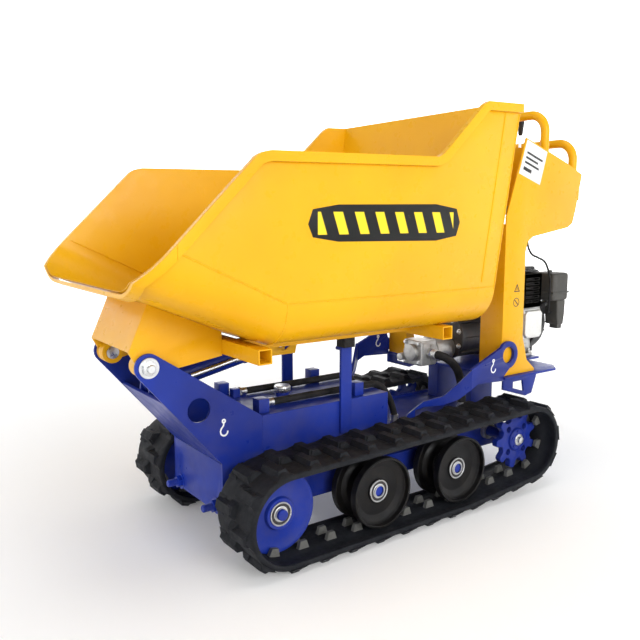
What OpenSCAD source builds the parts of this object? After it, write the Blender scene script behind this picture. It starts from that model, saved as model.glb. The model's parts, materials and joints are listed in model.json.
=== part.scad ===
// Tracked power barrow with a forward-tipping skip, a combustion engine and hydraulic drive.
// +X points forward to the skip's lip, +Y to the machine's left, +Z up; the ground is z = 0.

/* [Tracks] */
// Distance from the machine's centre plane to the middle of each track
track_y = 278; // [270:1:290]
// Width of each rubber track
track_w = 180; // [160:1:184]
// Thickness of the rubber carcass
belt_t = 16; // [12:1:18]
// Height of the tread lugs
lug_h = 16; // [10:1:18]
// Number of tread lug pitches round one track
lug_count = 28; // [24:1:30]
// Height of the inner drive lugs
drive_lug_h = 22; // [12:1:22]
// Distance from the middle of the machine to the idler and the sprocket axles
axle_x = 484; // [470:1:490]
// Belt's inner radius round the idler
idler_r = 114; // [110:1:118]
// Belt's inner radius round the sprocket
sprocket_r = 112; // [108:1:116]
// Height of the sprocket's axle
sprocket_z = 167; // [160:1:172]
// Radius of the road wheels
road_r = 105; // [100:1:108]
// Forward position of the front road wheels
road_front_x = 155; // [140:1:170]
// Forward position of the rear road wheels
road_rear_x = -169; // [-180:1:-160]

/* [Skip] */
// Half width of the skip's shell
skip_half_w = 383; // [370:1:383]
// Sheet thickness of the skip
skip_t = 5; // [4:0.5:8]
// Height of the skip's floor above the ground
floor_z = 600; // [598:1:604]
// Radius of the bend between the floor and the sides
bend_r = 115; // [90:1:125]
// Width of the folded rim strip
rim_w = 25; // [20:1:34]
// Thickness of the folded rim strip
rim_t = 12; // [8:1:12]

/* [Tipping] */
// Forward position of the skip's pivot
pivot_x = 777; // [770:1:780]
// Height of the skip's pivot
pivot_z = 551; // [545:1:555]
// Radius of the pivot pins
pivot_pin_r = 18; // [14:1:20]
// Radius of the tip cylinder's barrel
barrel_r = 32; // [26:1:34]
// Radius of the tip cylinder's rod
rod_r = 17; // [12:1:20]

/* [Chassis] */
// Half width of the oil tank and of the yoke
tank_half_w = 155; // [150:1:155]
// Height of the oil tank's top
tank_top = 375; // [370:1:380]
// Height of the chassis floor
belly_z = 110; // [100:1:120]
// Radius of the lifting holes in the yoke's ears
ear_hole_r = 33; // [25:1:34]
// Radius of the lifting eyes at the rear
eye_r = 28; // [20:1:30]

/* [Console] */
// Height of the front handlebar's top
bar_front_top = 1280; // [1240:1:1280]
// Height of the rear handlebar's top
bar_rear_top = 1195; // [1180:1:1210]
// Radius of the handlebar tube
bar_r = 15; // [12:1:15]
// Distance from the centre plane to each console side
console_y = 275; // [270:1:276]
// Forward position of the control levers
lever_x = -658; // [-670:1:-655]
// Radius of the control levers' grips
grip_r = 12.5; // [10:0.5:14]

/* [Hidden] */
$fn = 64;
eps = 0.01;
gap = 0.3;
run_gap = 0.05;
yellow = "#f2b01e";
blue = "#1e3ca0";
black = "#18181a";
steel = "#b4b6b8";

// Tracks
road_z = lug_h + belt_t + road_r;
idler_z = lug_h + belt_t + idler_r;
inner_circles = [[axle_x, idler_z, idler_r], [-axle_x, sprocket_z, sprocket_r],
                 [road_rear_x, road_z, road_r]];
lug_len = 30;
lug_half = track_w / 2 + 2;
drive_lug_len = 34;
drive_lug_y0 = 14;
drive_lug_y1 = 29;
axle_r = 15;
shaft_r = 18;
tooth_count = 9;
tooth_ring = sprocket_r - 27;
tooth_r = 15;
frame_y = 183;

// Skip side profile, from the rear top corner forwards
rim_line = [[-323, 1255], [-172, 1250.3], [-152, 1239], [2, 1096], [24, 1085.8], [560, 1075.5],
            [584, 1070], [600, 1061.3], [884, 783]];
rear_low_x = -232;
mitre_x = 512;
lip_x = 882;
lip_z = 757;
lip_bend_r = 133;
ramp_rise = (lip_z - floor_z) / (lip_x - mitre_x);
rim_split = 800;
pocket = 56;
rail_y = 165;
tube = 40;
tube_wall = 4;
tube_x = [544, -93];
tube_half_l = 330;
tube_over = 2;

// Tip cylinder in the XZ plane
foot = [700, 470];
head = [300, 555];
cyl_len = norm(head - foot);
cyl_angle = atan2(head[1] - foot[1], foot[0] - head[0]);
cheek_y = 26;
cheek_t = 8;
cyl_pin_r = 12;
open_gap = 18;

// Yoke ears
ear_t = 8;
ear_end_r = 36;
ear_hole = [643, 421];
ear_rear_x = 450;
front_x = 578;

// Rear lifting arms
arm_t = 10;
arm_root = [-85, 155];
arm_knee = [-249, 289];
eye_pos = [-420, 469];
eye_out_r = 46;

hose_end_z = 246;

// Platform, console and engine
deck_z = 395;
deck_t = 8;
plate_t = 6;
crank_z = 500;
pump_z = 450;
engine_x = -600;
lever_y = [-115, 115, 212];
lever_pin_z = 1018;
lever_pin_r = 4;
lever_slot = 42;
valve_rear_x = lever_x - 36;
valve_front_x = -604;
apron_x = -504;
bar_x_pos = [-605, -765];
leg_y = console_y - bar_r;

function unit(v) = v / norm(v);
// Outside tangent points of two circles [x, z, r], taken with the loop's outside on the left
function tangent(a, b) =
    let (d = [b[0] - a[0], b[1] - a[1]])
    let (turn = atan2(d[1], d[0]) - acos((a[2] - b[2]) / norm(d)))
    [[a[0] + a[2] * cos(turn), a[1] + a[2] * sin(turn)],
     [b[0] + b[2] * cos(turn), b[1] + b[2] * sin(turn)]];
function grow(circles, t) = [for (c = circles) [c[0], c[1], c[2] + t]];
// The loop as straight runs [start, end] each followed by the arc round the next circle
function runs(circles) =
    [for (i = [0 : len(circles) - 1]) tangent(circles[i], circles[(i + 1) % len(circles)])];
function run_len(r) = norm(r[1] - r[0]);
function heading(r) = atan2(r[1][1] - r[0][1], r[1][0] - r[0][0]);
function arc_turn(rs, i) =
    let (d = heading(rs[(i + 1) % len(rs)]) - heading(rs[i]))
    d < 0 ? d + 360 : d;
function arc_len(rs, cs, i) = arc_turn(rs, i) * PI / 180 * cs[(i + 1) % len(cs)][2];
// Points round the circle that follows run i
function arc_points(rs, cs, i) =
    let (c = cs[(i + 1) % len(cs)])
    let (steps = ceil(arc_turn(rs, i) / 6))
    [for (k = [0 : steps])
        let (h = heading(rs[i]) + arc_turn(rs, i) * k / steps - 90)
        [c[0] + c[2] * cos(h), c[1] + c[2] * sin(h)]];
function piece_len(rs, cs, i) = run_len(rs[i]) + arc_len(rs, cs, i);
function loop_len(rs, cs, i = 0) =
    i >= len(rs) ? 0 : piece_len(rs, cs, i) + loop_len(rs, cs, i + 1);
// Place [x, z, heading] at the distance s along the loop
function place(rs, cs, s, i = 0) =
    s > piece_len(rs, cs, i) && i < len(rs) - 1 ? place(rs, cs, s - piece_len(rs, cs, i), i + 1)
    : s <= run_len(rs[i])
        ? [rs[i][0][0] + s * cos(heading(rs[i])), rs[i][0][1] + s * sin(heading(rs[i])),
           heading(rs[i])]
        : let (c = cs[(i + 1) % len(cs)])
          let (h = heading(rs[i]) + (s - run_len(rs[i])) / c[2] * 180 / PI)
          [c[0] + c[2] * cos(h - 90), c[1] + c[2] * sin(h - 90), h];

// Polygon in the XZ plane, extruded from y0 to y1
module slab(points, y0, y1) {
    translate([0, y1, 0])
        rotate([90, 0, 0])
            linear_extrude(y1 - y0)
                polygon(points);
}

// Cylinder along Y at [x, z], with y0 below y1
module bar_y(at, r, y0, y1) {
    translate([at[0], y1, at[1]])
        rotate([90, 0, 0])
            cylinder(h = y1 - y0, r = r);
}

// Cylinder along X at [y, z]
module bar_x(at, r, x0, x1) {
    translate([x0, at[0], at[1]])
        rotate([0, 90, 0])
            cylinder(h = x1 - x0, r = r);
}

// Block between two corners
module block(low, high) {
    translate(low)
        cube(high - low);
}

module both_sides() {
    children();
    mirror([0, 1, 0])
        children();
}

// Round bar from a to b
module rod_between(a, b, r) {
    d = b - a;
    translate(a)
        rotate([0, acos(d[2] / norm(d)), atan2(d[1], d[0])])
            cylinder(h = norm(d), r = r);
}

// Direction of a route at its point i
function route_dir(p, i) =
    unit(p[min(i + 1, len(p) - 1)] - p[max(i - 1, 0)]);

// Hose swept along a route
module hose(route, r, sides = 10) {
    rings = [for (i = [0 : len(route) - 1])
        let (d = route_dir(route, i))
        let (u = unit(cross(d, [0.05, 1, 0])))
        let (v = cross(d, u))
        for (k = [0 : sides - 1])
            route[i] + r * cos(k * 360 / sides) * u + r * sin(k * 360 / sides) * v];
    last = (len(route) - 1) * sides;
    polyhedron(rings, concat(
        [[for (k = [0 : sides - 1]) k]],
        [[for (k = [sides - 1 : -1 : 0]) last + k]],
        [for (i = [0 : len(route) - 2], k = [0 : sides - 1])
            let (a = i * sides + k)
            let (b = i * sides + (k + 1) % sides)
            [b, a, a + sides, b + sides]]));
}

// Solid region inside a belt loop, its round parts cut into short flats
module loop_solid(circles, half_w) {
    rs = runs(circles);
    slab([for (i = [0 : len(rs) - 1]) each arc_points(rs, circles, i)], -half_w, half_w);
}

// Rubber track: carcass, staggered tread lugs outside, two rows of drive lugs inside
module track() {
    outer = grow(inner_circles, belt_t);
    outer_runs = runs(outer);
    inner_runs = runs(inner_circles);
    outer_step = loop_len(outer_runs, outer) / lug_count;
    inner_step = loop_len(inner_runs, inner_circles) / lug_count;
    color(black)
        translate([0, track_y, 0])
            union() {
                difference() {
                    loop_solid(outer, track_w / 2);
                    loop_solid(inner_circles, track_w / 2 + 1);
                }
                for (i = [0 : lug_count - 1], half = [0, 1]) {
                    at = place(outer_runs, outer, (i + half / 2 + 0.25) * outer_step);
                    translate([at[0], 0, at[1]])
                        rotate([0, -at[2], 0])
                            block([-lug_len / 2, half == 0 ? -lug_half : -4, -lug_h],
                                  [lug_len / 2, half == 0 ? 4 : lug_half, 3]);
                }
                for (i = [0 : lug_count - 1], side = [-1, 1]) {
                    at = place(inner_runs, inner_circles, (i + 0.5) * inner_step);
                    translate([at[0], side * (drive_lug_y0 + drive_lug_y1) / 2, at[1]])
                        rotate([0, -at[2], 0])
                            block([-drive_lug_len / 2, (drive_lug_y0 - drive_lug_y1) / 2, -3],
                                  [drive_lug_len / 2, (drive_lug_y1 - drive_lug_y0) / 2,
                                   drive_lug_h]);
                }
            }
}

// Wheel turned from a profile of [radius, y], centred on the track
module turned(at, profile) {
    translate([at[0], track_y, at[1]])
        rotate([-90, 0, 0])
            rotate_extrude()
                polygon(profile);
}

module idler() {
    color(blue)
        turned([axle_x, idler_z],
               [[axle_r + run_gap, -22], [45, -22], [45, -11], [idler_r - 0.5, -11],
                [idler_r - 0.5, 11], [45, 11], [45, 22], [axle_r + run_gap, 22]]);
}

module road_wheel(x) {
    rim = road_r - 0.5;
    color(black)
        turned([x, road_z],
               [[axle_r + run_gap, -34], [36, -34], [36, -28], [74, -28], [88, -39], [97, -39],
                [97, -57], [rim, -57], [rim, -33], [86, -33], [74, -22], [50, -22], [50, 22],
                [74, 22], [86, 33], [rim, 33], [rim, 57], [97, 57], [97, 39], [88, 39], [74, 28],
                [36, 28], [36, 34], [axle_r + run_gap, 34]]);
}

// Toothed drive sprocket with its shaft and end bolt
module sprocket() {
    at = [-axle_x, sprocket_z];
    color(blue)
        union() {
            difference() {
                union() {
                    bar_y(at, tooth_ring, track_y - 11, track_y + 11);
                    for (i = [0 : tooth_count - 1]) {
                        turn = i * 360 / tooth_count;
                        bar_y(at + tooth_ring * [cos(turn), sin(turn)], tooth_r,
                              track_y - 11, track_y + 11);
                    }
                    bar_y(at, 40, track_y - 24, track_y + 20);
                }
                for (i = [0 : 3])
                    bar_y(at + 58 * [cos(i * 90 + 45), sin(i * 90 + 45)], 11,
                          track_y - 12, track_y + 12);
            }
            bar_y(at, shaft_r, 130, track_y);
            bar_y(at, 22, track_y + 19, track_y + 24);
            bar_y(at, 13, track_y + 23, track_y + 34);
        }
}

module wheel_axles() {
    color(blue)
        both_sides()
            for (at = [[axle_x, idler_z], [road_front_x, road_z], [road_rear_x, road_z]])
                bar_y(at, axle_r, frame_y, track_y + 34);
}

module track_frame() {
    color(blue)
        difference() {
            block([-330, tank_half_w, belly_z], [548, frame_y, 178]);
            block([-336, tank_half_w + 7, belly_z + 7], [541, frame_y - 7, 171]);
        }
}

// Hydraulic wheel motor with a running bore for the sprocket's shaft
module drive_motor() {
    color(steel)
        difference() {
            union() {
                bar_y([-axle_x, sprocket_z], 48, 60, 143);
                bar_y([-axle_x, sprocket_z], 36, 20, 61);
                bar_y([-axle_x, sprocket_z], 30, 142, 170);
            }
            bar_y([-axle_x, sprocket_z], shaft_r + run_gap, 110, 171);
        }
}

// Oil tank, a hollow box with the filler neck on top
module chassis_box() {
    color(blue)
        union() {
            difference() {
                block([-14, -tank_half_w, belly_z], [ear_rear_x, tank_half_w, tank_top]);
                block([-6, -tank_half_w + 8, belly_z + 8],
                      [ear_rear_x - 8, tank_half_w - 8, tank_top - 8]);
            }
            translate([284, 0, tank_top - 1])
                cylinder(h = 15, r = 21);
            both_sides()
                block([395, 67, tank_top - 1], [419, 93, tank_top + 25]);
        }
}

// Rear chassis: side plates that carry the motors, a floor and two deck pillars
module rear_chassis() {
    color(blue)
        difference() {
            union() {
                both_sides() {
                    block([-570, 143, belly_z], [-14, tank_half_w, 255]);
                    block([-560, 60, 244], [-450, 110, deck_z - deck_t]);
                }
                block([-570, -143, belly_z], [-14, 143, belly_z + 8]);
                block([-570, -143, 238], [-14, 143, hose_end_z]);
            }
            bar_y([-axle_x, sprocket_z], 30 + gap, -160, 160);
        }
}

ear_down = unit([front_x - 805, 260 - 531]);
ear_out = [ear_down[1], -ear_down[0]];

module ear_outline() {
    back = unit([459 - pivot_x, tank_top - pivot_z - ear_end_r]);
    polygon([[ear_rear_x, belly_z], [front_x, belly_z], [front_x, 260],
             [pivot_x, pivot_z] - ear_end_r * ear_out,
             [pivot_x, pivot_z] + ear_end_r * [-back[1], back[0]] * -1,
             [ear_rear_x, tank_top]]);
}

// Yoke bent from one plate: two ears with pivot and lifting holes, a web, and the cylinder's foot
module front_yoke() {
    color(blue)
        difference() {
            union() {
                both_sides()
                    translate([0, tank_half_w, 0])
                        rotate([90, 0, 0])
                            linear_extrude(ear_t)
                                union() {
                                    ear_outline();
                                    translate([pivot_x, pivot_z])
                                        circle(r = ear_end_r);
                                }
                slab([[front_x, 260], [front_x, 260] - 248 * ear_down,
                      [front_x, 260] - 248 * ear_down + 8 * ear_out,
                      [front_x, 260] + 8 * ear_out + 8 * ear_down],
                     -tank_half_w + ear_t, tank_half_w - ear_t);
                both_sides()
                    slab([foot + [0, 24], foot + [-24, 0], foot + [-32, -90],
                          foot + [30, -16], foot + [26, 8]],
                         cheek_y, cheek_y + cheek_t);
            }
            both_sides() {
                bar_y([pivot_x, pivot_z], pivot_pin_r, 140, 160);
                bar_y(ear_hole, ear_hole_r, 140, 160);
            }
            bar_y(foot, cyl_pin_r, -40, 40);
        }
}

module front_plate() {
    color(blue)
        difference() {
            block([front_x - 8, -tank_half_w + ear_t, belly_z], [front_x, tank_half_w - ear_t, 258.8]);
            both_sides()
                bar_x([115, 130], 11, front_x - 9, front_x + 1);
        }
}

module tensioner_bolts() {
    color(steel)
        both_sides() {
            bar_x([115, 130], 11, 520, 622);
            translate([front_x, 115, 130])
                rotate([0, 90, 0])
                    cylinder(h = 16, r = 18, $fn = 6);
        }
}

module rest_posts() {
    color(blue)
        both_sides() {
            block([141, tank_half_w, 275], [181, tank_half_w + 10, 540]);
            block([141, tank_half_w - 20, 530], [181, tank_half_w + eps, 540]);
        }
}

module rest_pads() {
    color(black)
        both_sides()
            block([141, 140, 540], [181, 180, 569.5]);
}

module tank_blocks() {
    color(blue)
        for (x = [432, 88], side = [-1, 1])
            block([x - 17, side * 118 - 18, tank_top], [x + 17, side * 118 + 18, tank_top + 40]);
}

module filler_cap() {
    color(steel)
        translate([284, 0, tank_top + 14 + gap])
            cylinder(h = 20, r = 26);
}

// Two oil hoses along the tank, then down to the rear chassis
hose_points = [[395, 80, 387], [380, 80, 387], [300, 79, 387], [120, 78, 387], [10, 80, 387],
               [-14, 80, 386.5], [-36, 82, 380], [-60, 84, 360], [-82, 86, 326], [-97, 86, 290],
               [-103, 86, 266],
               [-104, 86, 256], [-104, 86, hose_end_z]];

module tank_hoses() {
    color(black)
        for (side = [-1, 1])
            hose([for (p = hose_points) [p[0], side * p[1], p[2]]], 11);
}

// Lifting arm: a flared root and a straight end with the eye
module rear_arm() {
    run = arm_knee - arm_root;
    l = norm(run);
    color(blue)
        difference() {
            union() {
                translate([arm_root[0], arm_root[1], 0])
                    rotate([0, 0, atan2(run[1], run[0])])
                        slab([[8, 200], [0, 268], [10, 292], [60, 335], [123, 354], [171, 398],
                              [l, 441], [l, 376], [171, 344], [120, 324], [62, 318], [50, 312],
                              [34, 308], [32, 245]], -arm_t, 0);
                slab([[arm_knee[0] + 4, 441], [eye_pos[0] - 8, eye_pos[1] + eye_out_r - 0.5],
                      [eye_pos[0] - 8, eye_pos[1] - eye_out_r + 0.5], [-399.7, 400],
                      [-399.7, 384], [-275, 390], [arm_knee[0] + 4, 376]],
                     arm_knee[1] - arm_t / 2, arm_knee[1] + arm_t / 2);
                bar_y(eye_pos, eye_out_r, arm_knee[1] - arm_t / 2, arm_knee[1] + arm_t / 2);
            }
            bar_y(eye_pos, eye_r, 270, 310);
        }
}

module platform() {
    color(blue)
        translate([0, 0, deck_z - deck_t])
            linear_extrude(deck_t)
                polygon([[-400, -300], [-400, 300], [-670, 300], [-712, 258], [-712, 130],
                         [-800, 130], [-800, -130], [-712, -130], [-712, -258], [-670, -300]]);
}

// Triangular side brackets under the platform, each with a window
module platform_brackets() {
    top = deck_z - deck_t;
    color(blue)
        both_sides()
            difference() {
                slab([[-400, top], [-574, top], [-550, 322], [-516, 316], [-400, 352]], 285, 293);
                slab([[-450, top - 14], [-500, top - 14], [-508, 334], [-450, 352]], 284, 294);
            }
}

module pivot_pins() {
    color(steel)
        both_sides() {
            bar_y([pivot_x, pivot_z], pivot_pin_r, 97, 164);
            translate([pivot_x, 164, pivot_z])
                rotate([90, 0, 0])
                    difference() {
                        cylinder(h = 8.9, r = 23);
                        cylinder(h = 20, r = pivot_pin_r, center = true);
                    }
            bar_y([pivot_x, pivot_z], 12, 163, 176);
        }
}

module cylinder_base_pin() {
    color(steel)
        bar_y(foot, cyl_pin_r, -42, 42);
}

// Skip body as one convex form: a rounded tub behind the mitre and a ramp up to the lip
module tub(inset, top_z, reach = 0) {
    half = skip_half_w - inset;
    low = floor_z + inset;
    r = bend_r - inset;
    lr = lip_bend_r - inset;
    rear = -inset;
    front = lip_x + max(inset, 0) * 2 + reach;
    hull() {
        for (side = [-1, 1])
            translate([rear_low_x - rear, side * (half - r), low + r])
                rotate([0, 90, 0])
                    cylinder(h = mitre_x - rear_low_x + rear, r = r, $fn = 48);
        for (side = [-1, 1])
            translate([front, side * (half - lr), lip_z + lr + inset])
                rotate([0, 90, 0])
                    cylinder(h = 2, r = lr, $fn = 48);
        block([-323 - rear, -half, top_z - 2], [840, half, top_z]);
        block([rear_low_x - rear, -half, low + r], [mitre_x, half, low + r + 130]);
    }
}

// Everything above the rim line and in front of the lip
module above_rim(y_half) {
    slab(concat([[-400, 1255]], rim_line, [[1000, 783], [1000, 1400], [-400, 1400]]),
         -y_half, y_half);
}

module skip_shell() {
    color(yellow)
        difference() {
            tub(0, 1262);
            above_rim(500);
            difference() {
                tub(skip_t, 1290);
                slab([[-500, 400], [-500, 1400], [-323 + pocket, 1400], [rear_low_x + pocket, 600]],
                     -500, 500);
            }
            intersection() {
                slab([[-500, 600], [-500, 1400], [-323 + pocket - skip_t, 1400],
                      [rear_low_x + pocket - skip_t, 600]], -500, 500);
                hull() {
                    for (side = [-1, 1])
                        translate([-600, side * (skip_half_w - bend_r), floor_z + bend_r])
                            rotate([0, 90, 0])
                                cylinder(h = 600, r = bend_r - skip_t, $fn = 48);
                    block([-600, -skip_half_w + skip_t, 1398], [0, skip_half_w - skip_t, 1400]);
                }
            }
        }
}

// Points of the rim line moved inwards by d, mitred at the corners
function normal(a, b) = let (u = unit(b - a)) [u[1], -u[0]];
function mitred(p, i, d) =
    let (n0 = i == 0 ? normal(p[0], p[1]) : normal(p[i - 1], p[i]))
    let (n1 = i == len(p) - 1 ? n0 : normal(p[i], p[i + 1]))
    let (m = unit(n0 + n1))
    p[i] + m * d / (m * n0);

// Height of the cut edge between the front corner and the lip
function edge_z(x) =
    let (a = rim_line[len(rim_line) - 2])
    let (b = rim_line[len(rim_line) - 1])
    a[1] + (x - a[0]) * (b[1] - a[1]) / (b[0] - a[0]);

// Folded rim: a strip outside each side that follows the bends and runs under the lip
module skip_rim() {
    last = len(rim_line) - 1;
    lip = lip_x + 2;
    drop = rim_w * 1.4;
    strip = concat(rim_line, [for (i = [last : -1 : 0]) mitred(rim_line, i, rim_w)]);
    color(yellow)
        union() {
            both_sides()
                intersection() {
                    slab(strip, skip_half_w, skip_half_w + rim_t);
                    block([-400, 0, 600], [rim_split - gap, 500, 1300]);
                }
            intersection() {
                difference() {
                    tub(-rim_t, 1290, 8);
                    tub(0, 1300, 14);
                }
                slab([[rim_split, edge_z(rim_split)], [lip, edge_z(lip)], [lip, 700],
                      [lip - rim_w, 700], [lip - rim_w, edge_z(lip - rim_w) - drop],
                      [rim_split, edge_z(rim_split) - drop]], -500, 500);
            }
        }
}

// Height just under the ramp
function under_ramp(x) = floor_z + (x - mitre_x) * ramp_rise - 1;

// Pivot bracket folded from plate: two gussets with bosses and a front web
module skip_bracket() {
    y0 = 132;
    y1 = 140;
    color(yellow)
        difference() {
            union() {
                both_sides() {
                    slab([[564.3, 556], [710, 535], [pivot_x, pivot_z - 30], [pivot_x + 28, 560],
                          [822, 592], [770, under_ramp(770)], [564.3, under_ramp(564.3)]], y0, y1);
                    bar_y([pivot_x, pivot_z], 30, 98, 146);
                }
                slab([[813, 592], [822, 592], [770, under_ramp(770)], [761, under_ramp(761)]],
                     -y0 - 1, y0 + 1);
            }
            both_sides()
                bar_y([pivot_x, pivot_z], pivot_pin_r + run_gap, 90, 150);
        }
}

module skip_rails() {
    color(yellow)
        both_sides()
            block([-73, rail_y - 20, floor_z - 30], [524, rail_y + 20, floor_z]);
}

module skip_cross_tubes() {
    color(yellow)
        for (x = tube_x)
            difference() {
                block([x - tube / 2, -tube_half_l, floor_z - tube],
                      [x + tube / 2, tube_half_l, floor_z]);
                block([x - tube / 2 + tube_wall, -tube_half_l - tube_over,
                       floor_z - tube + tube_wall],
                      [x + tube / 2 - tube_wall, tube_half_l + tube_over, floor_z - tube_wall]);
            }
}

module skip_clevis() {
    color(yellow)
        both_sides()
            difference() {
                slab([[head[0] - 62, floor_z], [head[0] + 62, floor_z], [head[0] + 42, 512],
                      [head[0] - 42, 512]], cheek_y, cheek_y + cheek_t);
                bar_y(head, cyl_pin_r + open_gap, 20, 40);
            }
}

// Plain coloured band with rounded ends on each side
module skip_band() {
    color("#e8c020")
        both_sides()
            slab([[-60, 870], [-74, 908], [-60, 946], [20, 958], [360, 954], [438, 942],
                  [452, 906], [438, 874], [360, 862], [20, 858]],
                 skip_half_w, skip_half_w + 1);
}

// Along the tip cylinder: 0 at its foot, measured towards its head
module on_cylinder() {
    translate([foot[0], 0, foot[1]])
        rotate([0, cyl_angle - 90, 0])
            children();
}

module cylinder_barrel() {
    color(blue)
        difference() {
            on_cylinder()
                union() {
                    rotate([90, 0, 0])
                        cylinder(h = 44, r = 24, center = true);
                    translate([0, 0, 18])
                        cylinder(h = 20, r = 22);
                    translate([0, 0, 34])
                        cylinder(h = 262, r = barrel_r);
                    translate([0, 0, 280])
                        cylinder(h = 22, r = barrel_r + 3);
                }
            on_cylinder()
                translate([0, 0, 60])
                    cylinder(h = 260, r = rod_r + run_gap);
            bar_y(foot, cyl_pin_r + run_gap, -40, 40);
        }
}

// Oil pipe beside the barrel with its end fitting
module cylinder_pipe() {
    color(steel)
        on_cylinder()
            union() {
                translate([0, barrel_r + 12, 90])
                    cylinder(h = 182, r = 7);
                translate([0, barrel_r + 12, 232])
                    cylinder(h = 36, r = 10);
                translate([0, barrel_r + gap, 250])
                    rotate([-90, 0, 0])
                        cylinder(h = 12, r = 6);
            }
}

module cylinder_rod() {
    color(steel)
        on_cylinder()
            union() {
                translate([0, 0, 75])
                    cylinder(h = cyl_len - 75 - 10, r = rod_r);
                translate([0, 0, cyl_len])
                    rotate([90, 0, 0])
                        cylinder(h = 40, r = 22, center = true);
                translate([0, 0, cyl_len])
                    rotate([90, 0, 0])
                        cylinder(h = 76, r = cyl_pin_r, center = true);
            }
}

// Console side: a column that widens into the head, with a folded front flange
module console_side() {
    color(yellow)
        union() {
            slab([[-400, deck_z], [-400, 922], [-484, 1178], [-705, 1106], [-794, 1070],
                  [-767, 948], [-752, 901], [-726, 886], [-538, 857], [-512, 840], [-503, 808],
                  [-505, 524], [-532, 438], [-574, 404], [-574, deck_z]],
                 console_y, console_y + plate_t);
            block([-406, console_y - 90, deck_z], [-400, console_y + eps, 900]);
            block([-574, console_y - 40, deck_z], [-406 + eps, console_y + eps, deck_z + plate_t]);
        }
}

// Sloping panel with lever slots and cut-outs for the handlebar legs
module control_panel() {
    color(yellow)
        difference() {
            union() {
                slab([[-500, 1150], [-700, 1084], [-780, 1052], [-780, 1046], [-700, 1078],
                      [-500, 1144]], -console_y, console_y);
                slab([[apron_x + plate_t, 1150], [apron_x, 1150], [apron_x, 960],
                      [apron_x + plate_t, 960]], -console_y, console_y);
                block([-790, -console_y, 980], [-784, console_y, 1046]);
                block([-790, -console_y, 1040], [-778, console_y, 1048]);
                block([-656, 232, 1094], [-614, 236, 1180]);
            }
            for (y = lever_y)
                block([lever_x - lever_slot, y - 9, 1000], [lever_x + lever_slot, y + 9, 1200]);
            for (x = bar_x_pos, side = [-1, 1])
                translate([x, side * leg_y, 970])
                    cylinder(h = 200, r = bar_r + gap);
        }
}

module control_valve() {
    color(steel)
        union() {
            block([valve_rear_x, -170, 930], [valve_front_x, 170, 1000]);
            block([valve_rear_x, 170 - eps, 950], [-620, 250, 990]);
            for (y = lever_y)
                valve_cheeks(y);
            block([valve_front_x - eps, -60, 945], [apron_x, 60, 985]);
        }
}

// Fork and cross pin that carry one lever
module valve_cheeks(y) {
    for (side = [-1, 1])
        block([lever_x - 14, y + side * 10 - 3, 985], [lever_x + 14, y + side * 10 + 3, 1030]);
    bar_y([lever_x, lever_pin_z], lever_pin_r, y - 8, y + 8);
}

// Control lever on its cross pin, with a tapered grip
module lever(y, top) {
    difference() {
        union() {
            color(steel)
                translate([lever_x, y, lever_pin_z])
                    cylinder(h = top - lever_pin_z - 45, r = 5);
            color(steel)
                bar_y([lever_x, lever_pin_z], 9, y - 6, y + 6);
            color(black)
                translate([lever_x, y, top - 55])
                    cylinder(h = 50, r1 = 8, r2 = grip_r);
            color(black)
                translate([lever_x, y, top - 11])
                    sphere(r = 11);
        }
        bar_y([lever_x, lever_pin_z], lever_pin_r + run_gap, y - 20, y + 20);
    }
}

// Inverted-U handlebar with its legs inside the console sides
module handlebar(x, top, leg_z, bend) {
    y = leg_y - bend;
    color(yellow)
        union() {
            rod_between([x, -y, top - bar_r], [x, y, top - bar_r], bar_r);
            both_sides() {
                rod_between([x, leg_y, leg_z], [x, leg_y, top - bar_r - bend], bar_r);
                translate([x, y, top - bar_r - bend])
                    rotate([90, 0, 90])
                        rotate_extrude(angle = 90)
                            translate([bend, 0])
                                circle(r = bar_r);
            }
        }
}

// Crankcase with its base, finned barrel and rocker cover
module engine_block() {
    color(steel)
        union() {
            block([-790, -112, deck_z], [-640, 105, deck_z + 12]);
            block([-790, -100, deck_z + 11], [-606, 96, 596]);
            bar_x([0, crank_z], 60, -612, engine_x);
            for (i = [0 : 7])
                block([-738, 95, 492 + i * 14], [-612, 172, 498 + i * 14]);
            block([-728, 94, 492], [-622, 174, 596]);
            block([-725, 173, 486], [-625, 196, 590]);
            bar_y([-690, 438], 14, 95, 116);
        }
}

module fan_cover() {
    color(black)
        union() {
            bar_x([0, 520], 122, -858, -790);
            bar_x([0, 520], 82, -884, -857);
            block([-850, -60, deck_z + 4], [-790, 60, 500]);
        }
}

// Pull handle of the recoil starter
module starter_handle() {
    color(black)
        union() {
            block([-880, -102, 583], [-862, -66, 597]);
            bar_x([-84, 590], 4, -863, -858);
        }
}

module muffler_guard() {
    color("#3a3a3c")
        difference() {
            block([-712, 84, 600], [-612, 194, 722]);
            block([-704, 92, 600 - eps], [-620, 186, 714]);
            for (i = [0 : 5])
                block([-698, 180, 618 + i * 16], [-626, 200, 625 + i * 16]);
        }
}

module air_cleaner() {
    color(black)
        union() {
            block([-880, 84, 612], [-786, 190, 716]);
            block([-872, 128, 520], [-822, 184, 613]);
        }
}

module fuel_tank() {
    color(black)
        union() {
            block([-880, -168, 646], [-640, 66, 722]);
            block([-862, -150, 721], [-660, 50, 734]);
            translate([-760, -50, 733])
                cylinder(h = 8, r = 26);
        }
}

module fuel_cap() {
    color("#2a2a2c")
        translate([-760, -50, 741 + gap])
            cylinder(h = 18, r = 32);
}

// Gear pump, its coupling and the drive housing on the engine
module hydraulic_pump() {
    color(steel)
        union() {
            block([-336, -44, pump_z - 44], [-262, 44, pump_z + 44]);
            bar_x([0, pump_z], 30, -262 - eps, -246);
            bar_x([0, pump_z], 46, -430, -336 + eps);
            bar_x([0, 490], 82, engine_x, -429);
            bar_y([-300, pump_z], 16, 43, 62);
            bar_x([-44, pump_z - 20], 14, -290, -240);
        }
}

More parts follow.
